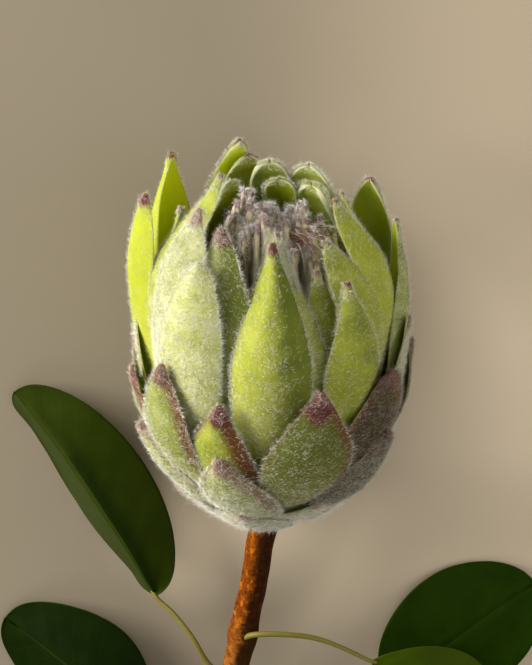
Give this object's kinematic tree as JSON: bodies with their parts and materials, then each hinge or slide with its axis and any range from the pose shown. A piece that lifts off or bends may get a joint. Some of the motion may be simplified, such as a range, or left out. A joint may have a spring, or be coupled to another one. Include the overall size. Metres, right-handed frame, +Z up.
{
  "type": "protea flower",
  "caption": "King protea bud with layered fuzzy green bracts round a mauve floret crown, picked on a woody stem with leathery leaves, lying on its side.",
  "frame": {"origin": "the flat spot of the bud's belly, where it rests on the surface", "axes": "+Y towards the bud's tip and -Y towards the stem's cut end, +Z up from the surface, +X to the right of the bud seen from above with its tip away"},
  "size_m": [0.1822, 0.2613, 0.0883],
  "materials": {
    "bract": "matte, silky with fine hairs",
    "floret": "matte, woolly tips",
    "stem": "matte bark",
    "leaf": "satin"
  },
  "bodies": {
    "root": {"bracts": "bract", "florets": "floret", "stem": "stem", "leaf_upper_left": "leaf", "leaf_lower_left": "leaf", "leaf_upper_right": "leaf", "leaf_lower_right": "leaf"}
  },
  "joints": []
}
